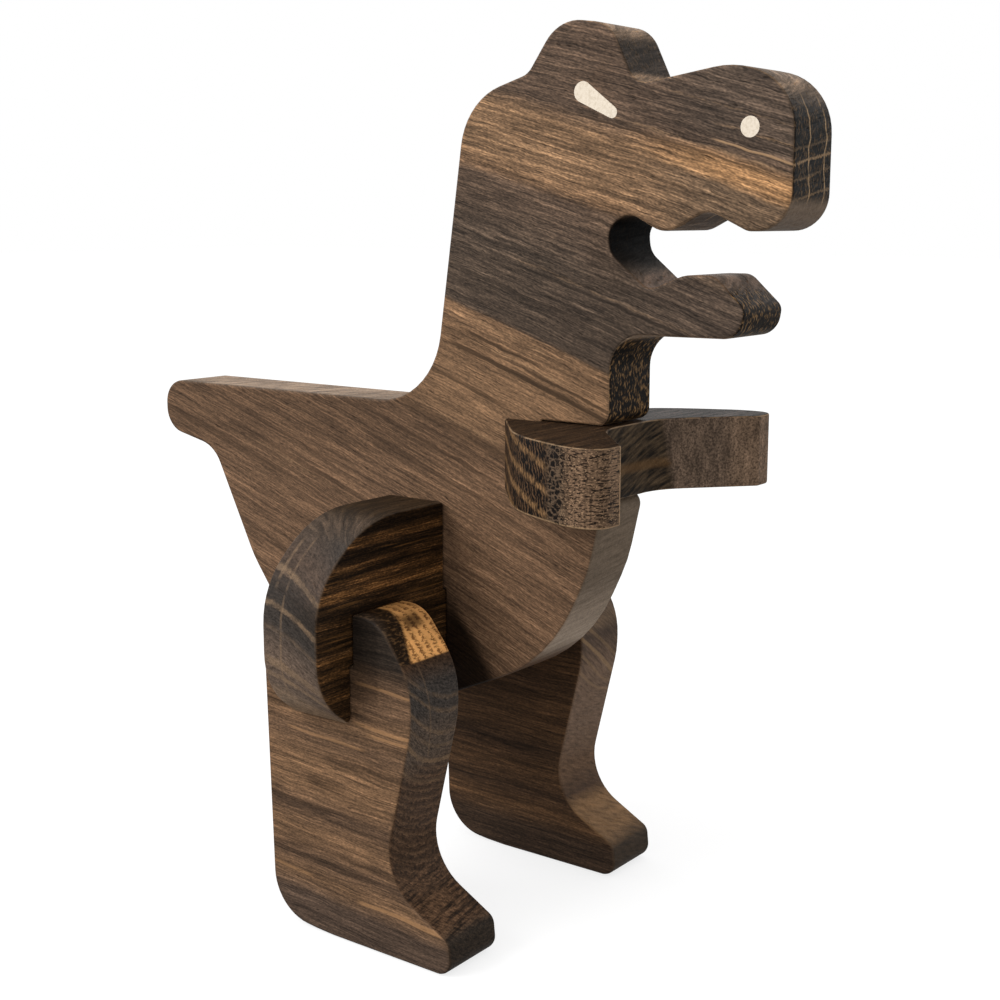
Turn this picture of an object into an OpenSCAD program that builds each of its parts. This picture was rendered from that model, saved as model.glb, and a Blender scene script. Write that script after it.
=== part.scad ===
// Slotted wooden model of a two-legged dinosaur, cut from five flat boards.
// +X points to the snout, +Y to the animal's left side, +Z up. The soles lie on Z = 0 and
// the origin is at the middle of the footprint. All sizes are in millimetres.

/* [Boards] */
// Thickness of the body and leg boards
board = 18; // [16:0.5:19]
// Thickness of the crosspiece and of the arms
cross_board = 17.2; // [16:0.2:18]
// Clearance on each side of a slot
slot_gap = 0.15; // [0.1:0.05:0.3]

/* [Stance] */
// Free space between the body and each leg
leg_space = 17; // [15:0.5:19]
// Middle of the crosspiece along the body
hip_x = -4; // [-5.6:0.2:-3]
// How far the rounded thigh ends stand out from the legs
thigh_reach = 11.8; // [9:0.2:14]

/* [Laps] */
// Height at which the body sits on the crosspiece
body_seat_z = 82; // [78:1:86]
// Height at which the crosspiece sits on the legs
leg_seat_z = 70; // [67:1:73]
// Height of the underside of the arms
arms_z = 109.4; // [108.8:0.2:110]
// Place along the body where the arms and the body lap
arms_lap_x = 34; // [31:1:37]

/* [Face] */
// Radius of the round back end of the eye
eye_r = 2.3; // [1.8:0.1:2.6]
// Radius of the narrow front end of the eye
eye_tip_r = 1.3; // [1:0.1:1.6]
// Radius of the nostril
nostril_r = 2.2; // [1.8:0.1:3]
// Depth of the coloured filling in the eyes and nostrils
fill_depth = 1.2; // [0.8:0.1:2]

/* [Hidden] */

right = -1;
left = 1;

// A rounded corner has a facet for each such turn in degrees, but none shorter than the least
facet_turn = 7.5;
least_facet = 0.25;
// Radius at the mouth of a slot and in its bottom corners
mouth_r = 1.2;
floor_r = 0.3;

half_slot = board / 2 + slot_gap;
half_cross_slot = cross_board / 2 + slot_gap;
leg_inner_y = board / 2 + leg_space;
leg_outer_y = leg_inner_y + board;
leg_mid_y = leg_inner_y + board / 2;
arms_top_z = arms_z + cross_board;

// Heights of the leg and of the crosspiece
leg_top_z = 82.6;
hip_top_z = 104.3;
hip_under_z = 62;

// Straight line of the belly from the rump corner to the chest corner
rump = [-32, 38.3];
chest = [36.6, 68.3];
function belly_z(x) = rump[1] + (chest[1] - rump[1]) * (x - rump[0]) / (chest[0] - rump[0]);

// Centres of the two ends of the eye, and of the nostril, in the side view
eye_back = [44.9, 201.1];
eye_front = [52.7, 196.4];
nostril_centre = [86.7, 192.2];

function unit(v) = v / norm(v);
function turned(v, a) = [v[0] * cos(a) - v[1] * sin(a), v[0] * sin(a) + v[1] * cos(a)];
function flat_point(c) = [c[0], c[1]];

// Points of the arc that rounds the corner between the points before and after it
function arc_points(before, corner, after, r) =
    let (
        back = unit(before - corner),
        ahead = unit(after - corner),
        half = acos(back * ahead) / 2,
        middle = corner + unit(back + ahead) * r / sin(half),
        start = corner + back * r / tan(half) - middle,
        side = sign(cross(corner - before, after - corner)),
        turn = side * (180 - 2 * half),
        length = r * abs(turn) * PI / 180,
        steps = ceil(min(abs(turn) / facet_turn, length / least_facet))
    )
    [for (k = [0:steps]) middle + turned(start, turn * k / steps)];

// An outline from a list of corners [across, up, corner radius]
function rounded(corners) =
    let (n = len(corners))
    [
        for (i = [0:n - 1])
            each arc_points(
                flat_point(corners[(i + n - 1) % n]),
                flat_point(corners[i]),
                flat_point(corners[(i + 1) % n]),
                corners[i][2]
            )
    ];

// Corners of a slot, from its mouth down one wall and back up the other
function slot_corners(mouth_a, floor_a, floor_b, mouth_b) = [
    [mouth_a[0], mouth_a[1], mouth_r],
    [floor_a[0], floor_a[1], floor_r],
    [floor_b[0], floor_b[1], floor_r],
    [mouth_b[0], mouth_b[1], mouth_r]
];

// Outline of a bar with two round ends of different size
function tapered_outline(a, b, r_a, r_b) =
    let (
        along = unit(b - a),
        lean = acos((r_a - r_b) / norm(b - a)),
        back_sweep = 360 - 2 * lean,
        front_sweep = 2 * lean
    )
    concat(
        [for (s = [0:12]) a + r_a * turned(along, lean + back_sweep * s / 12)],
        [for (s = [0:8]) b + r_b * turned(along, -lean + front_sweep * s / 8)]
    );

// Side view of the body, from the tail tip along the belly, up the front and back along the top
body_corners = concat(
    [
        [-96.9, 114.8, 7],
        [-78, 110.7, 10],
        [-63.5, 81.5, 30],
        [rump[0], rump[1], 22]
    ],
    slot_corners(
        [hip_x - half_cross_slot, belly_z(hip_x - half_cross_slot)],
        [hip_x - half_cross_slot, body_seat_z],
        [hip_x + half_cross_slot, body_seat_z],
        [hip_x + half_cross_slot, belly_z(hip_x + half_cross_slot)]
    ),
    [
        [chest[0], chest[1], 43],
        [47.7, 92, 40],
        [51.6, arms_z - slot_gap, 3],
        [arms_lap_x, arms_z - slot_gap, floor_r],
        [arms_lap_x, arms_top_z + slot_gap, floor_r],
        [52.9, arms_top_z + slot_gap, 3.2]
    ],
    // Throat notch, lower jaw and the wavy mouth
    [
        [52.9, 147.7, 8.5],
        [85.6, 148, 5],
        [86.6, 154.5, 2.5],
        [78.9, 161.4, 4],
        [71.5, 161.4, 10],
        [62.6, 157.8, 4],
        [52.6, 165.8, 5],
        [52, 171.5, 4],
        [57.5, 174.6, 4],
        [66.5, 169.9, 7],
        [77, 175.2, 5],
        [86.5, 170.8, 4]
    ],
    // Snout, brow, back of the head, neck and tail
    [
        [96.9, 170.8, 8],
        [96.9, 201.3, 13.5],
        [82, 205.4, 22],
        [58.4, 202, 5],
        [51.7, 215.5, 8],
        [38, 217.4, 10],
        [29.6, 205.8, 5],
        [11.6, 200.6, 16],
        [0.9, 128.2, 20],
        [-96.9, 128.4, 6.5]
    ]
);

// Side view of a leg, from the heel along the sole, up the shin and over the knee
leg_corners = concat(
    [
        [-22.7, 1.6, 12],
        [-6, 0, 60],
        [34.1, 0, 4],
        [33.2, 8.7, 3],
        [13.5, 19.3, 14],
        [22.6, 57, 25],
        [23, 68.6, 20],
        [12.4, leg_top_z, 9]
    ],
    slot_corners(
        [hip_x + half_cross_slot, leg_top_z],
        [hip_x + half_cross_slot, leg_seat_z],
        [hip_x - half_cross_slot, leg_seat_z],
        [hip_x - half_cross_slot, leg_top_z]
    ),
    [
        [-24.8, leg_top_z, 6]
    ]
);

// Front view of the left half of the crosspiece, from its underside round the thigh to the top
thigh_y = leg_outer_y + thigh_reach;
hip_half_corners = concat(
    slot_corners(
        [leg_inner_y - slot_gap, hip_under_z],
        [leg_inner_y - slot_gap, leg_seat_z + slot_gap],
        [leg_outer_y + slot_gap, leg_seat_z + slot_gap],
        [leg_outer_y + slot_gap, 55.2]
    ),
    [
        [thigh_y, 64, 18],
        [thigh_y, 88.7, 20],
        [thigh_y - 17.3, hip_top_z, 30],
        [half_slot, hip_top_z, mouth_r],
        [half_slot, body_seat_z - slot_gap, floor_r]
    ]
);

// Top view of the left half of the arms, from the lap round the inside of the arm to its back
arms_half_corners = [
    [53.4, 12, 17],
    [70.3, 31, 1.2],
    [70.3, 38.8, 4.5],
    [62, 39.6, 16],
    [42, 31, 40],
    [23.4, half_slot, 0.8],
    [arms_lap_x + slot_gap, half_slot, floor_r]
];

// A half outline followed by its mirror image, so that the whole stays symmetric
function mirrored_across(corners) = concat(
    corners,
    [for (i = [len(corners) - 1:-1:0]) [-corners[i][0], corners[i][1], corners[i][2]]]
);
function mirrored_along(corners) = concat(
    [for (i = [len(corners) - 1:-1:0]) [corners[i][0], -corners[i][1], corners[i][2]]],
    corners
);

// A board that stands along the body, with its middle at a distance from the centre line
module side_board(corners, middle_y) {
    translate([0, middle_y, 0])
        rotate([90, 0, 0])
            linear_extrude(height = board, center = true)
                polygon(rounded(corners));
}

// A filling that ends flush with one face of the body, or the recess that holds it
module face_fill(outline, side) {
    translate([0, side * (board / 2 - fill_depth / 2), 0])
        rotate([90, 0, 0])
            linear_extrude(height = fill_depth, center = true)
                polygon(outline);
}

module eye_shape(side) {
    face_fill(tapered_outline(eye_back, eye_front, eye_r, eye_tip_r), side);
}

module nostril_shape(side) {
    translate([nostril_centre[0], side * (board / 2 - fill_depth / 2), nostril_centre[1]])
        rotate([90, 0, 0])
            cylinder(h = fill_depth, r = nostril_r, center = true, $fn = 48);
}

module body() {
    color("#6b4a2f")
        difference() {
            side_board(body_corners, 0);
            for (side = [right, left]) {
                eye_shape(side);
                nostril_shape(side);
            }
        }
}

module hip_bar() {
    color("#4d3a2c")
        translate([hip_x, 0, 0])
            rotate([90, 0, 90])
                linear_extrude(height = cross_board, center = true)
                    polygon(rounded(mirrored_across(hip_half_corners)));
}

module leg(side) {
    color("#6e4c30")
        side_board(leg_corners, side * leg_mid_y);
}

module arms() {
    color("#3f3026")
        translate([0, 0, arms_z])
            linear_extrude(height = cross_board)
                polygon(rounded(mirrored_along(arms_half_corners)));
}

module eye_fill(side) {
    color("#f3ead2")
        eye_shape(side);
}

module nostril_fill(side) {
    color("#f3ead2")
        nostril_shape(side);
}

body();
hip_bar();
leg(right);  // leg_right
leg(left);  // leg_left
arms();
eye_fill(right);  // eye_fill_right
eye_fill(left);  // eye_fill_left
nostril_fill(right);  // nostril_fill_right
nostril_fill(left);  // nostril_fill_left
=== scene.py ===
"""Looks for the slotted wooden dinosaur: rounded boards in dark oak, cream fillings, soft light.

All positions inside the materials are in millimetres in the model's own frame:
+X to the snout, +Y to the animal's left, +Z up.
"""

import math

import bmesh
import bpy
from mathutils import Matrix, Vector


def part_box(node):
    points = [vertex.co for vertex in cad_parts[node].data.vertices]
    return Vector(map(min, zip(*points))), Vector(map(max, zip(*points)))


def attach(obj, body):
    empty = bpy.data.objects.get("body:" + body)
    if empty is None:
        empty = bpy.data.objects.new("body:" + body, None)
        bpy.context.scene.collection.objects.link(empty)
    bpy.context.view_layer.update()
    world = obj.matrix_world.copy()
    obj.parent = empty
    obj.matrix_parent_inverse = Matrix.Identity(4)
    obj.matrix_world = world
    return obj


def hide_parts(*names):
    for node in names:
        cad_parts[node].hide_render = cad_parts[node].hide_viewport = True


MM = 0.001

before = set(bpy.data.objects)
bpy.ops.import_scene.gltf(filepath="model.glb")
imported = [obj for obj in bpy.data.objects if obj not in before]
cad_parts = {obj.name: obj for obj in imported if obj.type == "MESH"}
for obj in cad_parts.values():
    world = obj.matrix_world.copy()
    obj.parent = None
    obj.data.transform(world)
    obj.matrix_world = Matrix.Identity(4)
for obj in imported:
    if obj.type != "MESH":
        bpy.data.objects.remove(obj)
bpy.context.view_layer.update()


# ---------------------------------------------------------------- shader values
class Value:
    """A shader value: one output socket, with arithmetic that adds Math nodes."""

    def __init__(self, graph, socket):
        self.graph = graph
        self.socket = socket

    def __add__(self, other):
        return self.graph.maths("ADD", self, other)

    def __sub__(self, other):
        return self.graph.maths("SUBTRACT", self, other)

    def __rsub__(self, other):
        return self.graph.maths("SUBTRACT", other, self)

    def __mul__(self, other):
        return self.graph.maths("MULTIPLY", self, other)

    def __truediv__(self, other):
        return self.graph.maths("DIVIDE", self, other)

    def abs(self):
        return self.graph.maths("ABSOLUTE", self)

    def power(self, exponent):
        return self.graph.maths("POWER", self, exponent)

    def most(self, other):
        """The larger of the two values."""
        return self.graph.maths("MAXIMUM", self, other)

    def opposite(self):
        """1 minus the value."""
        return 1 - self


class Graph:
    """The node tree of one material, with short names for the nodes that the woods use."""

    def __init__(self, name):
        self.material = bpy.data.materials.new(name)
        self.material.use_nodes = True
        self.tree = self.material.node_tree
        self.shader = self.tree.nodes["Principled BSDF"]
        coordinates = self.tree.nodes.new("ShaderNodeTexCoord")
        place = self.tree.nodes.new("ShaderNodeSeparateXYZ")
        self.tree.links.new(coordinates.outputs["Object"], place.inputs[0])
        facing = self.tree.nodes.new("ShaderNodeSeparateXYZ")
        self.tree.links.new(coordinates.outputs["Normal"], facing.inputs[0])
        self.x, self.y, self.z = (Value(self, s) / MM for s in place.outputs)
        self.nx, self.ny, self.nz = (Value(self, s) for s in facing.outputs)

    def put(self, socket, value):
        """Links a value, or sets a number or a colour, on an input."""
        if isinstance(value, Value):
            self.tree.links.new(value.socket, socket)
        elif socket.type == "VECTOR":
            socket.default_value = value[:3]
        else:
            socket.default_value = value

    def maths(self, kind, *values):
        """A Math node of that kind."""
        node = self.tree.nodes.new("ShaderNodeMath")
        node.operation = kind
        for socket, value in zip(node.inputs, values):
            self.put(socket, value)
        return Value(self, node.outputs[0])

    def point(self, x, y, z):
        """A vector from three values."""
        node = self.tree.nodes.new("ShaderNodeCombineXYZ")
        for socket, value in zip(node.inputs, (x, y, z)):
            self.put(socket, value)
        return Value(self, node.outputs[0])

    def noise(self, x, y, z, detail=2.0, rough=0.5):
        """Smooth noise, about 0 to 1 with its middle at 0.5. One feature is about one unit wide."""
        node = self.tree.nodes.new("ShaderNodeTexNoise")
        self.put(node.inputs["Vector"], self.point(x, y, z))
        node.inputs["Scale"].default_value = 1.0
        node.inputs["Detail"].default_value = detail
        node.inputs["Roughness"].default_value = rough
        return Value(self, node.outputs[0])

    def cell_borders(self, x, y, z):
        """Distance to the nearest border between irregular cells, each about one unit wide."""
        node = self.tree.nodes.new("ShaderNodeTexVoronoi")
        node.feature = "DISTANCE_TO_EDGE"
        self.put(node.inputs["Vector"], self.point(x, y, z))
        node.inputs["Scale"].default_value = 1.0
        return Value(self, node.outputs["Distance"])

    def rise(self, value, low, high):
        """0 below low, 1 above high, smooth between."""
        node = self.tree.nodes.new("ShaderNodeMapRange")
        node.interpolation_type = "SMOOTHSTEP"
        self.put(node.inputs["Value"], value)
        self.put(node.inputs["From Min"], low)
        self.put(node.inputs["From Max"], high)
        return Value(self, node.outputs[0])

    def fall(self, value, low, high):
        """1 below low, 0 above high, smooth between."""
        return self.rise(value, low, high).opposite()

    def near(self, value, centre, half, soft):
        """1 within half of centre, and 0 past soft more."""
        return self.fall((value - centre).abs(), half, half + soft)

    def window(self, value, low, high, soft):
        """1 between low and high, with an edge that is soft wide outside them."""
        return self.rise(value, low - soft, low) * self.fall(value, high, high + soft)

    def blend(self, share, first, second):
        """first where share is 0, second where it is 1. Both are colours."""
        node = self.tree.nodes.new("ShaderNodeMix")
        node.data_type = "RGBA"
        # Inputs 0, 6 and 7 and output 2 are the factor, the colours A and B, and the result
        self.put(node.inputs[0], share)
        self.put(node.inputs[6], first)
        self.put(node.inputs[7], second)
        return Value(self, node.outputs[2])

    def filtered(self, colour, other):
        """The product of two colours."""
        node = self.tree.nodes.new("ShaderNodeVectorMath")
        node.operation = "MULTIPLY"
        self.put(node.inputs[0], colour)
        self.put(node.inputs[1], other)
        return Value(self, node.outputs[0])

    def tint(self, colour, factor):
        """The colour times a number."""
        node = self.tree.nodes.new("ShaderNodeVectorMath")
        node.operation = "SCALE"
        self.put(node.inputs[0], colour)
        self.put(node.inputs["Scale"], factor)
        return Value(self, node.outputs[0])

    def ramp(self, value, stops):
        """A colour ramp over (position, colour) stops, in the value's own units."""
        low, high = stops[0][0], stops[-1][0]
        node = self.tree.nodes.new("ShaderNodeValToRGB")
        self.put(node.inputs[0], (value - low) / (high - low))
        elements = node.color_ramp.elements
        for k, (position, colour) in enumerate(stops):
            at = (position - low) / (high - low)
            # A new ramp already has two stops
            element = elements[k] if k < 2 else elements.new(at)
            element.position = at
            element.color = colour
        return Value(self, node.outputs[0])

    def finish(self, colour, roughness, height, depth_mm, specular):
        """Puts the colour, the roughness and a bump of that depth on the surface."""
        self.put(self.shader.inputs["Base Color"], colour)
        self.put(self.shader.inputs["Roughness"], roughness)
        self.shader.inputs["Specular IOR Level"].default_value = specular
        bump = self.tree.nodes.new("ShaderNodeBump")
        bump.inputs["Strength"].default_value = 1.0
        bump.inputs["Distance"].default_value = depth_mm * MM
        self.put(bump.inputs["Height"], height)
        self.tree.links.new(bump.outputs[0], self.shader.inputs["Normal"])
        return self.material


def srgb(red, green, blue):
    """A colour from display values of 0 to 255."""

    def linear(v):
        v /= 255
        return v / 12.92 if v <= 0.04045 else ((v + 0.055) / 1.055) ** 2.4

    return (linear(red), linear(green), linear(blue), 1.0)


# ---------------------------------------------------------------- boards
BOARDS = (
    # CAD node, piece name, body, thin axis, edge radius in mm, record slot
    ("body", "body_board", "trunk", 1, 0.7, "body_wood"),
    ("hip_bar", "crosspiece_board", "hips", 0, 0.7, "crosspiece_wood"),
    ("leg_right", "leg_board_right", "leg_right", 1, 0.8, "leg_wood"),
    ("leg_left", "leg_board_left", "leg_left", 1, 0.8, "leg_wood"),
    ("arms", "arms_board", "arms", 2, 0.4, "arms_wood"),
)
FILLS = ("eye_fill_right", "eye_fill_left", "nostril_fill_right", "nostril_fill_left")
ROUNDING_STEPS = 3
# In metres: how near counts as the same plane, and how near counts as part of a recess
SAME_PLANE = 1e-5
FILL_MARGIN = 1e-4


def in_fill(node, edge):
    """True for the edge of an eye or nostril recess, which stays crisp."""
    if node != "body":
        return False
    middle = (edge.verts[0].co + edge.verts[1].co) / 2
    for fill in FILLS:
        low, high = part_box(fill)
        beside = low.x - FILL_MARGIN < middle.x < high.x + FILL_MARGIN
        if beside and low.z - FILL_MARGIN < middle.z < high.z + FILL_MARGIN:
            return True
    return False


def rounded_board(node, name, thin, radius_mm):
    """A copy of a CAD board with its long edges rounded. thin is the board's thin axis, 0 to 2."""
    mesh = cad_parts[node].data.copy()
    mesh.name = name
    work = bmesh.new()
    work.from_mesh(mesh)
    bmesh.ops.remove_doubles(work, verts=work.verts, dist=1e-6)
    bmesh.ops.dissolve_limit(
        work, angle_limit=math.radians(0.5), verts=work.verts, edges=work.edges
    )
    low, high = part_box(node)

    def on_side(face):
        """True for a face of one of the board's two flat sides."""
        level = face.calc_center_median()[thin]
        on_plane = min(abs(level - low[thin]), abs(level - high[thin])) < SAME_PLANE
        return on_plane and abs(face.normal[thin]) > 0.99

    def on_rim(edge):
        """True for an edge between a flat side and the cut rim."""
        faces = edge.link_faces
        return len(faces) == 2 and sum(on_side(f) for f in faces) == 1 and not in_fill(node, edge)

    bmesh.ops.bevel(
        work,
        geom=[edge for edge in work.edges if on_rim(edge)],
        offset=radius_mm * MM,
        offset_type="OFFSET",
        segments=ROUNDING_STEPS,
        profile=0.5,
        affect="EDGES",
        clamp_overlap=False,
    )
    for face in work.faces:
        face.smooth = True
    work.to_mesh(mesh)
    work.free()
    if "custom_normal" in mesh.attributes:
        mesh.attributes.remove(mesh.attributes["custom_normal"])
    board = bpy.data.objects.new(name, mesh)
    bpy.context.scene.collection.objects.link(board)
    shade = board.modifiers.new("flat faces, round edges", "WEIGHTED_NORMAL")
    shade.mode = "FACE_AREA"
    shade.weight = 100
    shade.keep_sharp = False
    return board


pieces = {}
for node, name, body, thin, radius, slot in BOARDS:
    piece = rounded_board(node, name, thin, radius)
    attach(piece, body)
    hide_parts(node)
    pieces[node] = piece


# ---------------------------------------------------------------- oak
# Tones of the smoked oak, roughly from light to dark
SANDED = srgb(168, 151, 135)
HONEY = srgb(174, 134, 96)
PALE_TAN = srgb(138, 110, 85)
OATMEAL = srgb(138, 117, 98)
TAN = srgb(128, 101, 78)
WHEAT = srgb(130, 101, 72)
ASH = srgb(118, 97, 82)
LEG_TAN = srgb(118, 92, 70)
DRIFTWOOD = srgb(116, 102, 88)
AMBER = srgb(112, 79, 47)
FAWN = srgb(109, 90, 73)
PEWTER = srgb(104, 89, 79)
BROWN = srgb(103, 81, 64)
SMOKY = srgb(96, 79, 67)
BARK = srgb(90, 71, 57)
DUSK = srgb(88, 75, 66)
SMOKED = srgb(82, 70, 61)
UMBER = srgb(79, 65, 56)
RUSSET = srgb(75, 57, 44)
TOFFEE = srgb(65, 48, 35)
SLATE = srgb(60, 55, 52)
PEAT = srgb(60, 50, 41)
BITTER = srgb(50, 35, 21)
SOOT = srgb(48, 41, 36)
CHARRED = srgb(44, 36, 29)
NIGHT = srgb(36, 25, 15)

# Pale tones of single rings, rays and worn edges
PALE_LINE = srgb(184, 150, 116)
PALE_RAY = srgb(174, 146, 112)
PALE_RING = srgb(158, 130, 98)
WORN = srgb(110, 88, 70)

# Bands of colour from the bottom up, for each board's sides and rims: (height in mm, tone)
FACE_BANDS = (
    (60, BROWN), (116, BROWN), (123, TAN), (149.5, TAN), (150.3, SMOKED), (169, SMOKED),
    (183, SMOKY), (185, TAN), (189, PALE_TAN), (199.5, PALE_TAN), (203.6, SMOKY), (216, SMOKY),
)
SNOUT_BANDS = (
    (150, DUSK), (176, DUSK), (184, FAWN), (197.5, FAWN), (199.6, HONEY), (202, HONEY),
    (204.4, SMOKY), (208, DUSK), (218, DUSK),
)
CHEST_BANDS = ((66.5, BROWN), (71.5, SANDED), (75, SANDED), (88, DRIFTWOOD), (108, DRIFTWOOD))
# The leg bands darken at the bottom and the top: partly the wood's own tone, partly painted shade
# near the floor and under the crosspiece
LEG_BANDS = (
    (0, UMBER), (8, UMBER), (13, LEG_TAN), (18, BARK), (24.5, LEG_TAN), (31, BARK), (36, LEG_TAN),
    (43, LEG_TAN), (50, BROWN), (56.5, LEG_TAN), (61, BROWN), (66, BROWN), (73, SOOT),
)
RIGHT_RIM_BANDS = (
    (8.5, CHARRED), (10.5, TOFFEE), (24, TOFFEE), (31, RUSSET), (43, RUSSET), (50, SMOKED),
    (55, SMOKED), (62, SLATE), (67, SLATE), (72, TOFFEE),
)
LEFT_RIM_BANDS = (
    (8, PEAT), (11.5, WHEAT), (16, WHEAT), (19, RUSSET), (26, BROWN), (38, ASH), (54, ASH),
    (64, UMBER), (67, FAWN), (74, DUSK),
)
FRONT_BANDS = ((95, BITTER), (98, NIGHT), (103, NIGHT), (106, BITTER))
THIGH_BANDS = (
    (63.5, OATMEAL), (66.5, PEWTER), (74, PEWTER), (82, SLATE), (89.5, SOOT), (96.5, UMBER),
    (104, SLATE),
)

# Single grain lines on a board's sides: ring height, half width, from x, to x, strength
BODY_DARK_LINES = (
    (202.8, 0.2, 48, 86, 0.55), (194.5, 0.3, 62, 78, 0.35), (188.0, 0.25, 25, 60, 0.3),
    (165.0, 0.3, 34, 72, 0.45), (144.0, 0.4, 15, 30, 0.5), (139.5, 0.5, 10, 50, 0.6),
    (141.6, 0.3, 33, 50, 0.5), (130.5, 0.5, -2, 20, 0.45), (118.3, 1.0, -6, 30, 0.3),
    (111.0, 0.5, -12, 16, 0.35), (104.5, 0.6, -14, 22, 0.3), (85.5, 0.6, -65, -10, 0.3),
    (91.0, 0.5, -62, -38, 0.3), (79.0, 1.0, -90, -55, 0.3), (158.5, 0.4, 12, 44, 0.25),
)
BODY_LIGHT_LINES = (
    (209.2, 0.1, 83, 96, 0.45), (204.3, 0.2, 56, 97, 0.3), (166.2, 0.3, 30, 78, 0.15),
    (213.0, 0.1, 70, 92, 0.25), (120.4, 0.3, 0, 28, 0.25), (83.8, 0.4, -60, -20, 0.2),
    (147.5, 0.3, 14, 34, 0.3), (142.6, 0.25, 18, 40, 0.3), (192.0, 0.2, 12, 30, 0.25),
)
LEG_DARK_LINES = (
    (56.0, 0.35, -25, -10, 0.45), (31.8, 0.5, -22, -4, 0.4), (18.2, 0.5, -24, 10, 0.35),
    (21.2, 0.4, -14, 18, 0.35), (45.8, 0.9, -2, 18, 0.3), (38.5, 1.1, -8, -1, 0.35),
    (27.8, 0.4, 4, 18, 0.3),
)
LEG_LIGHT_LINES = (
    (56.6, 0.35, 8, 24, 0.5), (54.6, 0.3, 12, 24, 0.5), (66.6, 0.25, 8, 24, 0.45),
    (11.8, 0.35, 8, 34, 0.55), (13.5, 0.25, -24, -12, 0.4), (50.6, 0.25, -14, 6, 0.35),
)
# Single rings on cut rims, and stripes on the crosspiece: height in mm, half width, strength
RIGHT_RIM_RINGS = (
    (53.6, 0.3, 0.6), (67.2, 0.15, 0.35), (61.6, 0.2, 0.35), (58.0, 0.15, 0.25),
    (47.2, 0.2, 0.3), (70.6, 0.15, 0.3),
)
LEFT_RIM_RINGS = ((64.2, 0.4, 0.55), (59.5, 0.2, 0.3), (55.0, 0.2, 0.3), (69.0, 0.3, 0.3))
CROSSPIECE_RINGS = (
    (93.2, 0.25, 0.5), (85.6, 0.3, 0.55), (72.0, 0.7, 0.45), (68.6, 0.25, 0.6), (80.0, 0.1, 0.2),
)
AMBER_STRIPES = (
    (64.6, 0.2, 0.6), (70.0, 0.5, 0.4), (73.4, 0.5, 0.4), (82.0, 0.5, 0.15), (88.2, 0.6, 0.9),
    (91.0, 0.5, 0.35), (94.3, 0.4, 0.2), (100.0, 0.6, 0.45),
)
# Rings across the snout's cut end: height in mm, strength
SNOUT_RINGS = ((206.1, 0.8), (199.2, 0.45), (208.6, 0.25), (203.0, 0.3))

# Filters over the wood's tone in its dark and light streaks, and over all the oiled wood
DARK_STREAK = (0.90, 0.915, 0.94, 1)
LIGHT_STREAK = (0.95, 0.93, 0.90, 1)
OILED = (0.80, 0.765, 0.71, 1)
# A streak with a share of 1 is this many times lighter than one with a share of 0
STREAK_STRENGTH = 4.4


def start_of(node, axis):
    """The lowest coordinate of a CAD node along an axis, in mm."""
    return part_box(node)[0][axis] / MM


def fibres(g, along, ring, across, seed):
    """Light and dark streaks along the grain, with their middle at 0.5, and the pores."""
    slow = g.noise(along / 34 + seed, ring / 1.8, across / 20, 2)
    streak = g.noise(along / 20 - seed, ring / 0.7, across / 9, 2, 0.6)
    fine = g.noise(along / 7 + seed, ring / 0.26, across / 4, 1, 0.6)
    grit = g.noise(along / 0.7, ring / 0.28, across / 0.4 + seed, 0)
    share = (slow - 0.5) * 0.9 + (streak - 0.5) * 1.35
    share = share + (fine - 0.5) * 1.15 + (grit - 0.5) * 0.7 + 0.5
    pores = g.rise(g.noise(along / 2.2, ring / 0.36, across / 2 - seed, 0), 0.68, 0.82)
    return share, pores


def streaked(g, colour, share):
    """The colour, darker and greyer where share is low, and lighter where it is high."""
    hue = g.filtered(colour, g.blend(share, DARK_STREAK, LIGHT_STREAK))
    return g.tint(hue, g.maths("POWER", STREAK_STRENGTH, share - 0.5))


def mottled(g, colour, size, depth):
    """The colour with small soft spots."""
    spots = g.noise(g.x / size, g.y / size, g.z / size, 2, 0.6)
    return g.tint(colour, (spots - 0.5) * depth + 1)


def joined(g, facing, side_colour, rim_colour):
    """A board's colour: one on its two flat sides, which face along facing, one on its cut rim."""
    return g.blend(g.fall(facing.abs(), 0.55, 0.9), side_colour, rim_colour)


def worn_edges(g, colour, facing, tone, amount):
    """The colour with another tone on the rounded edges, where the side turns into the rim."""
    turn = g.window(facing.abs(), 0.35, 0.8, 0.2)
    patchy = g.rise(g.noise(g.x / 4, g.y / 4, g.z / 4, 2), 0.3, 0.65)
    return g.blend(turn * patchy * amount, colour, tone)


def polished(g, colour, share, pores, depth_mm=0.05):
    """Satin oil on the wood: the pores are dull and sunk, the hard streaks stand up."""
    roughness = g.rise(share, 0.1, 0.9) * -0.12 + pores * 0.2 + 0.55
    height = share * 0.5 - pores * 0.8
    return g.finish(g.filtered(colour, OILED), roughness, height, depth_mm, specular=0.08)


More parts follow.
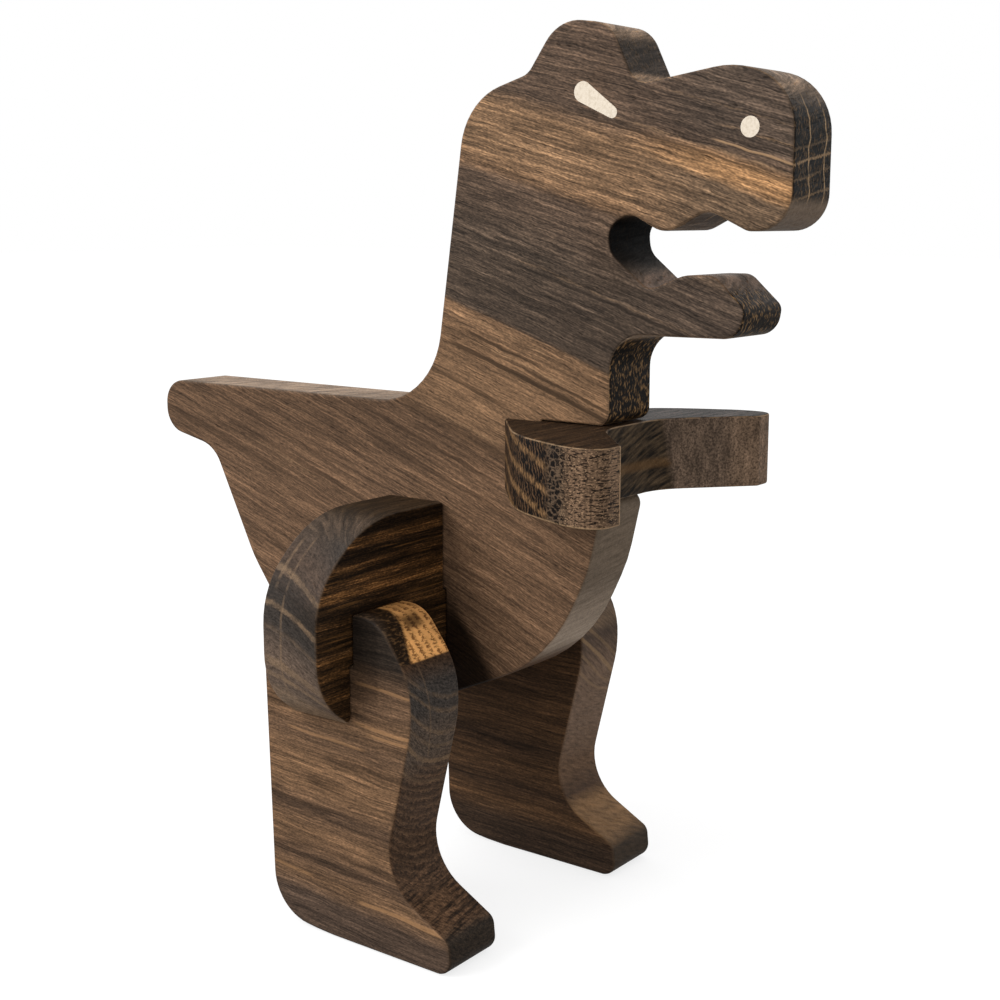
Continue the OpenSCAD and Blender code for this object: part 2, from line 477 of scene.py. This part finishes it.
def body_side(g, ring, bent, share, pores):
    """The body's flat sides: bands, then single dark and light lines along the grain."""
    x, y, z = g.x, g.y, g.z
    snout = g.rise(x, 52, 82)
    colour = g.blend(snout, g.ramp(bent, FACE_BANDS), g.ramp(bent, SNOUT_BANDS))
    colour = streaked(g, colour, share)
    # Painted light: the belly's side is made lighter, more so towards the front, to lift the shade
    # that falls there
    painted_light_on_belly = g.window(z, 62, 110, 8)
    colour = g.tint(colour, (g.rise(x, -5, 15) * 0.12 + 0.24) * painted_light_on_belly + 1)

    dark = pores * 0.45
    for at, half, start, end, depth in BODY_DARK_LINES:
        mask = g.near(bent, at, half * 0.7, half) * g.window(x, start, end, 8)
        dark = dark.most(mask * depth * (share * 0.6 + 0.7))
    colour = g.tint(colour, dark.opposite())
    broken = g.rise(g.noise(x / 5, ring / 0.6, y / 9, 1), 0.38, 0.58)
    for at, half, start, end, strength in BODY_LIGHT_LINES:
        mask = g.near(ring, at, half, 0.25) * g.window(x, start, end, 6) * broken * share
        colour = g.blend(mask * strength * 1.5, colour, PALE_LINE)
    clear_line = g.near(ring, 206.1, 0.1, 0.25) * g.window(x, 80, 99, 3)
    return g.blend(clear_line * 0.75, colour, PALE_LINE)


def body_end_grain(g, ring):
    """Almost black wood cut across its grain, with pale ticks, and rays and rings on the snout."""
    x, y, z = g.x, g.y, g.z
    bend = (g.noise(y / 3, z / 1.6, x / 9, 1) - 0.5) * 1.6
    ticks = g.noise((y + bend) / 0.45, z / 1.3, x / 3, 1, 0.6)
    colour = g.blend(g.rise(ticks, 0.5, 0.7), srgb(5, 3, 2), srgb(90, 70, 46))
    sway = (g.noise(z / 6, y / 40, x / 9, 2) - 0.5) * 3.6
    rays = g.near(y - sway, -1.8, 0.08, 0.3).most(g.near(y - sway, 5.6, 0.08, 0.3))
    frayed = g.rise(g.noise(y / 1.2, z / 1.6, 4, 2), 0.25, 0.5)
    rays = rays * g.window(z, 174, 206, 3) * g.rise(x, 60, 80) * frayed
    colour = g.blend(rays * 0.9, colour, PALE_RAY)
    jagged = ring + (ticks - 0.5) * 1.2
    for at, strength in SNOUT_RINGS:
        colour = g.blend(g.near(jagged, at, 0.08, 0.3) * frayed * strength, colour, PALE_RING)
    return mottled(g, colour, 0.4, 2.0)


def body_rim(g, side, ring, share, mouth_shade):
    """The body's cut rim: greyer along the grain, almost black across it, pale on the chest."""
    x, y, z = g.x, g.y, g.z
    along = g.blend(0.45, side, mottled(g, srgb(98, 86, 74), 1.1, 0.5))
    head_top = g.rise(g.nz, 0.25, 0.75) * g.rise(z, 196, 201)
    along = g.blend(head_top * 0.8, along, streaked(g, srgb(130, 106, 83), share))
    # The tail's top is paler: partly its own tone, partly a painted sheen standing in for gloss at
    # a glancing angle
    tail_top_sheen = g.rise(g.nz, 0.8, 0.95) * g.fall(z, 131, 135)
    pale_top_and_sheen = g.blend(g.rise(y, -8.5, -6.5), srgb(110, 91, 74), srgb(144, 121, 100))
    along = g.blend(tail_top_sheen, along, streaked(g, pale_top_and_sheen, share))

    end_grain = body_end_grain(g, ring)
    sanded = g.tint(g.ramp(z, CHEST_BANDS), (share - 0.5) * 0.5 + 1)
    chest = g.fall(z, 108, 112) * g.rise(x, 0, 8) * g.rise(g.nx, 0.2, 0.4)
    across = g.blend(chest, end_grain, mottled(g, sanded, 0.8, 0.8))
    along_x, along_z = 0.955, -0.296
    cut_across = g.rise((g.nx * along_x + g.nz * along_z).abs(), 0.5, 0.85).most(chest)
    colour = g.blend(cut_across, along, across)

    # Painted light: rim faces that turn downwards under the head and jaw are made up to twice as
    # light, as if lit from below
    under = g.rise(g.nz * -1, 0.3, 0.8)
    colour = g.tint(colour, under * g.window(z, 146, 178, 2) + 1)
    under_snout = g.rise(x, 84, 90) * g.fall(z, 175.5, 178.5)
    colour = g.blend(under_snout, colour, mottled(g, srgb(124, 108, 94), 0.7, 1.2))
    jaw_top = g.window(z, 149, 163, 2) * g.rise(x, 56, 60) * g.rise(g.nz, 0.3, 0.8)
    colour = g.blend(jaw_top * 0.5, colour, streaked(g, srgb(124, 96, 76), share))
    jaw_tip = g.window(z, 146, 159, 1) * g.rise(x, 80, 84) * g.rise(g.nx, 0.2, 0.5)
    colour = g.blend(jaw_tip * 0.9, colour, g.tint(end_grain, 2.5))
    throat = g.window(z, 126, 147, 2) * g.rise(x, 45, 50)
    colour = g.tint(colour, throat * 1.5 + 1)
    brow = g.window(z, 205, 210.5, 0.8)
    colour = g.tint(colour, brow * -0.35 + 1)
    # Painted shade deepens the dark end grain inside the mouth
    return g.tint(colour, mouth_shade * -0.9 + 1)


def body_oak():
    """The body board: its grain slopes down towards the snout."""
    g = Graph("body_oak")
    x, y, z = g.x, g.y, g.z
    wave = (g.noise(x / 45, z / 12, y / 20, 2) - 0.5) * 2.6
    ripple = (g.noise(x / 8, z / 3, y / 9, 2) - 0.5) * 1.0
    slope = (185 - z) * 0.00125 + 0.283
    across = y - start_of("body", 1)
    ring = z + slope * (x - 20) - across * 0.16 + ripple
    bent = ring + wave * 0.5
    share, pores = fibres(g, x, bent, y, 3.1)
    # The grain stands out more on the head
    share = (share - 0.5) * (g.rise(z, 135, 165) * 0.25 + 1) + 0.5

    # Inside the mouth: dark end grain with painted shade on top; it is also dull and sunk
    mouth_shade = g.fall(x, 54, 60) * g.window(z, 157, 176, 2) * g.rise(x, 45, 48)
    side = body_side(g, ring, bent, share, pores)
    colour = joined(g, g.ny, side, body_rim(g, side, ring, share, mouth_shade))
    colour = worn_edges(g, colour, g.ny, SMOKY, 0.15)
    # Painted shade: almost black in the corner in front of the crosspiece, further out lower down
    shade_reach = g.fall(z, 58, 84) * 14
    corner = g.fall(x + across * 0.45 - shade_reach, 3.5, 9.5) * g.rise(x, 2, 4) * g.fall(z, 72, 92)
    colour = g.tint(colour, corner * -0.86 + 1)
    return polished(g, colour, share, pores.most(mouth_shade))


def right_leg_rim(g, across, bow, wave):
    """The right leg's cut rim: dark end grain with pale bowed rings, striped on the foot."""
    x, z = g.x, g.z
    colour = g.ramp(z + wave * 0.4, RIGHT_RIM_BANDS)
    growth = z + bow + wave * 0.35
    grain = g.noise(across / 1.0, growth / 0.45, x / 6, 3, 0.65)
    colour = g.tint(colour, (grain - 0.5) * 4.4 + 1.18)
    patchy = g.rise(g.noise(across / 2.5, growth / 2, x / 6 + 3, 2), 0.3, 0.6)
    growth = growth + (grain - 0.5) * 1.6
    pale = srgb(146, 119, 92)
    for at, half, strength in RIGHT_RIM_RINGS:
        mask = g.near(growth, at, half, 0.7) * (patchy * 0.6 + 0.4)
        colour = g.blend(mask * strength, colour, pale)
    ring_spacing = 2.3
    rings = g.maths("SINE", growth * (2 * math.pi / ring_spacing) + wave * 3)
    colour = g.tint(colour, rings * patchy * g.window(z, 20, 44, 3) * 0.3 + 1)
    rings = g.rise(rings, 0.5, 1.0) * g.window(z, 21, 46, 3)
    colour = g.blend(rings * patchy * 0.4, colour, LEG_TAN)
    # The top of the foot is striped across, dark and ragged
    ragged = g.noise(across / 9, (x * 0.8 - z * 0.6) / 1.0 + across / 7, 6.5, 3, 0.65)
    foot = g.window(z, 9.5, 19, 1.5)
    colour = g.tint(colour, (g.rise(ragged, 0.34, 0.62) - 0.45) * foot * 1.4 + 1)
    ray = g.near(across + (z - 60) * 0.14, 7.0, 0.08, 0.3) * g.window(z, 50, 71, 2)
    colour = mottled(g, g.blend(ray * 0.22, colour, pale), 0.4, 1.8)
    return g.blend(g.rise(z, 72.2, 72.7), colour, golden_thigh(g, across, grain))


def golden_thigh(g, across, grain):
    """Golden sapwood with rows of dark ticks, then a black border, then brown wood outside it."""
    x, z = g.x, g.z
    border = across - 8 + (z - 82.6) * -0.44 + (grain - 0.5) * 1.5
    down = z - x * 0.8
    ticks = g.noise(across / 1.3, down / 0.7, 0.3, 2, 0.6)
    columns = g.maths("SINE", across * 2.3 + (ticks - 0.5) * 9 + down * 0.2)
    marks = g.rise(columns, -0.6, 0.6) * g.rise(ticks, 0.38, 0.58)
    gold = g.blend(marks * 0.85, srgb(250, 187, 118), srgb(108, 67, 37))
    gold = g.tint(gold, (g.noise(across / 3, down / 4, 4, 2) - 0.5) * 0.9 + 1)
    gold = g.tint(gold, g.rise(z, 75, 81) * -0.3 + 1)
    smudge = g.near(across, 11, 1.6, 2.4) * g.near(z, 80.2, 0.5, 1.5)
    gold = g.blend(smudge * 0.75, gold, BITTER)
    black = g.blend(g.rise(ticks, 0.48, 0.68), srgb(34, 24, 15), srgb(96, 72, 48))
    brown = g.blend(g.rise(ticks, 0.45, 0.65), srgb(46, 37, 30), srgb(82, 66, 52))
    colour = g.blend(g.rise(border, -6.5, -3.5), brown, black)
    return g.blend(g.rise(border, -0.6, 0.9), colour, gold)


def right_leg_oak():
    """The right leg: level bands that bow across its thickness."""
    g = Graph("right_leg_oak")
    x, y, z = g.x, g.y, g.z
    across = y - start_of("leg_right", 1)
    bow = (1 - (1 - across / 16).power(2)) * 8 * (1 - g.fall(z, 38, 52) * 0.3)
    wave = (g.noise(x / 22, z / 8, y / 9, 2) - 0.5) * 2.4
    ring = z + x * 0.06 + wave
    share, pores = fibres(g, x, ring + bow, y, 7.7)
    colour = streaked(g, g.ramp(ring + bow, LEG_BANDS), share)
    for at, half, start, end, strength in LEG_LIGHT_LINES:
        mask = g.near(ring, at, half, 0.3) * g.window(x, start, end, 4)
        colour = g.blend(mask * strength, colour, HONEY)
    dark = pores * 0.4
    for at, half, start, end, depth in LEG_DARK_LINES:
        mask = g.near(ring, at, half, half) * g.window(x, start, end, 4)
        dark = dark.most(mask * depth)
    colour = mottled(g, g.tint(colour, dark.opposite() * 1.1), 0.7, 0.35)
    # Painted shade on the leg's side just in front of the crosspiece
    shade_beside_crosspiece = g.window(x, 5, 12, 1.5) * g.rise(z, 61, 64)
    colour = g.tint(colour, shade_beside_crosspiece * -0.3 + 1)

    colour = joined(g, g.ny, colour, right_leg_rim(g, across, bow, wave))
    colour = worn_edges(g, colour, g.ny, WORN, 0.15)
    return polished(g, colour, share, pores)


def left_leg_oak():
    """The left leg: the same bands, darker, leaning across its thickness. The darkening is partly
    the wood's tone, partly painted shade between the legs.
    """
    g = Graph("left_leg_oak")
    x, y, z = g.x, g.y, g.z
    across = y - start_of("leg_left", 1)
    lean = across * (0.75 - g.fall(z, 40, 52) * 0.4)
    wave = (g.noise(x / 22, z / 8, y / 9 + 4, 2) - 0.5) * 2.2
    ring = z + x * 0.03 + wave
    share, pores = fibres(g, x, ring + lean, y, 12.4)
    colour = streaked(g, g.ramp(ring + lean, LEG_BANDS), share)
    # Partly darker wood, partly painted shade between the legs
    colour = g.filtered(colour, (0.63, 0.58, 0.52, 1))
    # Painted shade: darker towards the top, under the belly
    colour = g.tint(colour, g.rise(z, 25, 60) * -0.2 + 1)
    colour = mottled(g, g.tint(colour, (pores * 0.4).opposite()), 0.7, 0.35)

    growth = z + lean + wave * 0.4
    rim_colour = g.ramp(z + wave * 0.4, LEFT_RIM_BANDS)
    grain = g.noise(across / 3, growth / 0.8, x / 6, 3, 0.6)
    rim_colour = g.tint(rim_colour, (grain - 0.5) * 1.9 + 1)
    for at, half, strength in LEFT_RIM_RINGS:
        rim_colour = g.blend(g.near(growth, at, half, 0.6) * strength, rim_colour, PALE_RING)
    rim_colour = mottled(g, rim_colour, 0.5, 0.8)

    colour = joined(g, g.ny, colour, rim_colour)
    colour = worn_edges(g, colour, g.ny, WORN, 0.15)
    return polished(g, colour, share, pores)


def crosspiece_oak():
    """The crosspiece: amber stripes on dark sides, and a grey rim with rings and rays."""
    g = Graph("crosspiece_oak")
    x, y, z = g.x, g.y, g.z
    low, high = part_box("hip_bar")
    across = x - low.x / MM
    bow = (across / ((high.x - low.x) / MM)).power(1.7) * 7
    wave = (g.noise(y / 26, z / 8, x / 9, 2) - 0.5) * 1.6
    ring = z + bow - 7 + y.abs() * 0.02 + wave
    share, pores = fibres(g, y, ring, x, 5.2)
    colour = g.ramp(ring, FRONT_BANDS)
    for at, half, strength in AMBER_STRIPES:
        colour = g.blend(g.near(ring, at, half, 1.0) * strength, colour, AMBER)
    colour = streaked(g, colour, (share - 0.5) * 2.0 + 0.5)
    gleam = g.rise(g.noise(y / 24 + 9, ring / 0.7, 2.5, 2), 0.6, 0.74)
    colour = g.blend(gleam * 0.4, colour, srgb(140, 100, 58))
    colour = mottled(g, g.tint(colour, (pores * 0.5).opposite()), 0.7, 0.4)

    growth = z + bow + wave * 0.4
    rim_colour = g.ramp(growth, THIGH_BANDS)
    grain = g.noise(across / 1.3, growth / 0.5, y / 6, 3, 0.65)
    rim_colour = g.tint(rim_colour, (grain - 0.5) * 2.4 + 1)
    patchy = g.rise(g.noise(across / 3, growth / 2, y / 6 + 3, 2), 0.3, 0.6)
    growth = growth + (grain - 0.5) * 1.6
    pale = srgb(146, 122, 98)
    for at, half, strength in CROSSPIECE_RINGS:
        mask = g.near(growth, at, half, 0.7) * (patchy * 0.6 + 0.4)
        rim_colour = g.blend(mask * strength, rim_colour, pale)
    tilt = (z - 80) * 0.02
    ray = g.near(across - tilt, 6.1, 0.15, 0.35) * g.window(z, 60, 98, 3)
    ray = ray.most(g.near(across - tilt, 2.6, 0.2, 0.5) * g.window(z, 90, 98, 2))
    rim_colour = g.blend(ray * patchy * 0.35, rim_colour, pale)
    top = g.blend(g.rise(y.abs(), 31, 38), srgb(54, 41, 27), srgb(76, 62, 50))
    top = streaked(g, top, share)
    rim_colour = g.blend(g.rise(g.nz, 0.75, 0.97), rim_colour, top)
    rim_colour = mottled(g, rim_colour, 0.45, 1.5)

    colour = joined(g, g.nx, colour, rim_colour)
    colour = worn_edges(g, colour, g.nx, srgb(128, 104, 82), 0.2)
    return polished(g, colour, share, pores)


def arm_outside(g):
    """Outside of the arm: hatching between pale rings, then a net, then fine grey wood."""
    x, y, z = g.x, g.y, g.z
    root = 36
    growth = z + (x - root) * 0.22 + (x - root).power(2) * 0.003
    ring_spacing = 5.2
    # The whole number keeps the phase above 0
    phase = g.maths("FRACT", (growth - 118.5) / ring_spacing + 20)
    pale_ring = g.near(phase, 0.5, 0.05, 0.2)
    wobble = (g.noise(x / 2, z / 1.4, 1.5, 2) - 0.5) * 2.4
    lines = g.maths("SINE", (x + z * 0.3 + wobble) * 5.6)
    gaps = g.noise(x / 0.9, z / 1.8, 7.5, 2)
    hatch = g.rise(lines, -0.2, 0.7) * g.rise(gaps, 0.35, 0.55)
    broken = g.rise(gaps, 0.25, 0.5)
    hatched = g.blend(hatch, srgb(6, 3, 2), srgb(92, 69, 49))
    hatched = g.blend(pale_ring * (hatch * 0.5 + 0.5) * broken * 0.8, hatched, srgb(150, 116, 80))

    crooked = (g.noise(x / 0.8, z / 0.8, 5, 1) - 0.5) * 1.2
    net = g.fall(g.cell_borders(x / 1.7 + crooked, z / 1.3, y / 6), 0.02, 0.2)
    weave = g.noise(x / 1.3, z / 0.4, y / 3, 2, 0.6)
    netted = g.blend(net * g.rise(weave, 0.2, 0.6), srgb(14, 9, 6), srgb(104, 86, 70))

    upright = g.noise(x / 0.7, z / 18, y / 3, 2, 0.6)
    grey = g.blend(g.rise(weave, 0.36, 0.58), srgb(28, 20, 15), srgb(120, 97, 78))
    grey = g.tint(grey, (upright - 0.5) * 2.4 + 1)

    colour = g.blend(g.rise(x, 53, 57), hatched, netted)
    colour = g.blend(g.rise(x, 60, 63), colour, grey)
    flecks = g.rise(g.noise(x / 0.5, z / 0.28, y / 0.6, 1), 0.56, 0.7)
    colour = g.blend(flecks * g.rise(x, 58, 62) * 0.8, colour, srgb(172, 142, 114))
    # Broken pale lines: upright at the right hand's inner corner, and along the lower edge
    corner = g.near(y, -31.3, 0.05, 0.3) * g.rise(x, 69, 69.8)
    corner = corner.most(g.fall(z, 109.6, 110.0)) * broken
    return g.blend(corner * 0.7, colour, srgb(196, 164, 128))


def arm_inside(g):
    """Inside of the arm: dark with a tan band near the body, smooth grey-brown further out."""
    x, y, z = g.x, g.y, g.z
    swirl = g.noise((y + z * 0.4) / 6, (z - y * 0.4) / 1.0, 3.3, 3, 0.6)
    near_body = g.blend(g.rise(swirl, 0.3, 0.75), srgb(16, 12, 9), srgb(94, 78, 60))
    near_body = g.blend(g.near(z, 116.2, 0.4, 1.4) * 0.55, near_body, srgb(112, 84, 54))
    smooth = g.blend(g.rise(x, 63, 68), srgb(102, 86, 74), srgb(118, 98, 82))
    smooth = g.tint(smooth, (g.noise(y / 1.6, z / 7, x / 5, 3, 0.6) - 0.5) * 2.4 + 1)
    smooth = mottled(g, smooth, 0.5, 2.2)
    drift = (z - 118) * 0.16
    return g.blend(g.rise(y.abs() + drift + (swirl - 0.5) * 3, 12.4, 14.6), near_body, smooth)


def arms_oak():
    """The arms board: dark above and below, with a different pattern on each side of an arm."""
    g = Graph("arms_oak")
    x, y, z = g.x, g.y, g.z
    share, pores = fibres(g, y, x + z * 0.4, z, 9.6)
    colour = streaked(g, srgb(47, 34, 23), (share - 0.5) * 1.9 + 0.5)
    specks = g.rise(g.noise(x / 0.6, y / 1.0, z / 0.6, 1), 0.64, 0.76)
    colour = g.blend(specks * 0.6, colour, srgb(134, 104, 76))
    colour = mottled(g, g.tint(colour, (pores * 0.5).opposite()), 0.7, 0.4)

    facing_out = g.rise(g.maths("SIGN", y) * g.ny, 0.1, 0.3)
    right_tip = g.rise(x, 69.3, 69.8) * g.fall(y, -2, 2)
    rim_colour = g.blend(facing_out.most(right_tip), arm_inside(g), arm_outside(g))
    colour = joined(g, g.nz, colour, mottled(g, rim_colour, 0.5, 1.0))
    colour = worn_edges(g, colour, g.nz, srgb(168, 140, 110), 0.6)
    return polished(g, colour, share, pores, depth_mm=0.08)


def cream_filler():
    """Cream paste, softly mottled and slightly gritty."""
    g = Graph("cream_filler")
    spots = g.noise(g.x / 0.8, g.y, g.z / 0.8, 3, 0.6)
    grit = g.noise(g.x / 0.25, g.y, g.z / 0.25, 1)
    colour = g.blend(g.rise(spots, 0.3, 0.6), srgb(208, 194, 174), srgb(225, 212, 194))
    return g.finish(colour, spots * 0.1 + 0.55, grit, 0.03, specular=0.08)


def dress(thing, material):
    """Gives an object this one material."""
    thing.data.materials.clear()
    thing.data.materials.append(material)


dress(pieces["body"], body_oak())
dress(pieces["hip_bar"], crosspiece_oak())
dress(pieces["leg_right"], right_leg_oak())
dress(pieces["leg_left"], left_leg_oak())
dress(pieces["arms"], arms_oak())
cream = cream_filler()
for node in FILLS:
    dress(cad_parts[node], cream)


# ---------------------------------------------------------------- floor, light and camera
# In metres: half the floor's side, and how far it lies under the soles
FLOOR_HALF = 6.0
FLOOR_DROP = 0.0002
# The studio's light from below, as a share of its light from the sides and above. It fades
# between two heights of its direction, where 0 is level and -1 is straight down.
LIGHT_FROM_BELOW = 0.42
FADE_LOW = -0.14
FADE_HIGH = -0.05

# The camera looks along -X, turned by the yaw towards +Y and tipped by the pitch downwards
CAMERA_PLACE = Vector((0.2442, -0.3051, 0.1741))
CAMERA_YAW = math.radians(53.11)
CAMERA_PITCH = math.radians(10.35)
LENS_MM = 56.1


def aim(thing, direction):
    """Turns a camera or light so that it looks along the direction."""
    thing.rotation_euler = direction.to_track_quat("-Z", "Y").to_euler()


def add_floor():
    """A pale floor that runs out of view on all sides, just under the soles."""
    mesh = bpy.data.meshes.new("floor")
    corners = [(-1, -1), (1, -1), (1, 1), (-1, 1)]
    points = [(x * FLOOR_HALF, y * FLOOR_HALF, -FLOOR_DROP) for x, y in corners]
    mesh.from_pydata(points, [], [(0, 1, 2, 3)])
    floor = bpy.data.objects.new("floor", mesh)
    bpy.context.scene.collection.objects.link(floor)
    g = Graph("pale_floor")
    g.shader.inputs["Base Color"].default_value = (0.3, 0.3, 0.3, 1)
    g.shader.inputs["Roughness"].default_value = 0.9
    g.shader.inputs["Specular IOR Level"].default_value = 0.0
    g.shader.inputs["Emission Color"].default_value = (1, 1, 1, 1)
    g.shader.inputs["Emission Strength"].default_value = 0.75
    mesh.materials.append(g.material)
    floor.visible_diffuse = False
    floor.visible_glossy = False


def add_world():
    """White all round and above, darker below, so that the undersides stay in shade."""
    world = bpy.data.worlds.new("white studio")
    world.use_nodes = True
    tree = world.node_tree
    direction = tree.nodes.new("ShaderNodeTexCoord")
    height = tree.nodes.new("ShaderNodeSeparateXYZ")
    tree.links.new(direction.outputs["Generated"], height.inputs[0])
    shade = tree.nodes.new("ShaderNodeMapRange")
    shade.inputs["From Min"].default_value = FADE_LOW
    shade.inputs["From Max"].default_value = FADE_HIGH
    shade.inputs["To Min"].default_value = LIGHT_FROM_BELOW
    shade.inputs["To Max"].default_value = 1.0
    tree.links.new(height.outputs["Z"], shade.inputs["Value"])
    background = tree.nodes["Background"]
    background.inputs["Color"].default_value = (1, 1, 1, 1)
    tree.links.new(shade.outputs[0], background.inputs["Strength"])
    bpy.context.scene.world = world


def add_softbox(name, place, target, size, watts):
    """A square area light that faces the target."""
    data = bpy.data.lights.new(name, "AREA")
    data.shape = "SQUARE"
    data.size = size
    data.energy = watts
    light = bpy.data.objects.new(name, data)
    bpy.context.scene.collection.objects.link(light)
    light.location = place
    aim(light, Vector(target) - Vector(place))


def add_camera():
    """A camera in front of the model and to its right, looking slightly down."""
    data = bpy.data.cameras.new("camera")
    data.lens = LENS_MM
    data.sensor_width = 36.0
    data.clip_start = 0.01
    camera = bpy.data.objects.new("camera", data)
    bpy.context.scene.collection.objects.link(camera)
    camera.location = CAMERA_PLACE
    level = math.cos(CAMERA_PITCH)
    down = -math.sin(CAMERA_PITCH)
    aim(camera, Vector((-math.cos(CAMERA_YAW) * level, math.sin(CAMERA_YAW) * level, down)))
    bpy.context.scene.camera = camera


add_floor()
add_world()
add_softbox("key", place=(-0.6, -1.0, 0.9), target=(0, 0, 0.11), size=0.8, watts=14.0)
add_camera()
bpy.context.scene.view_settings.view_transform = "Standard"
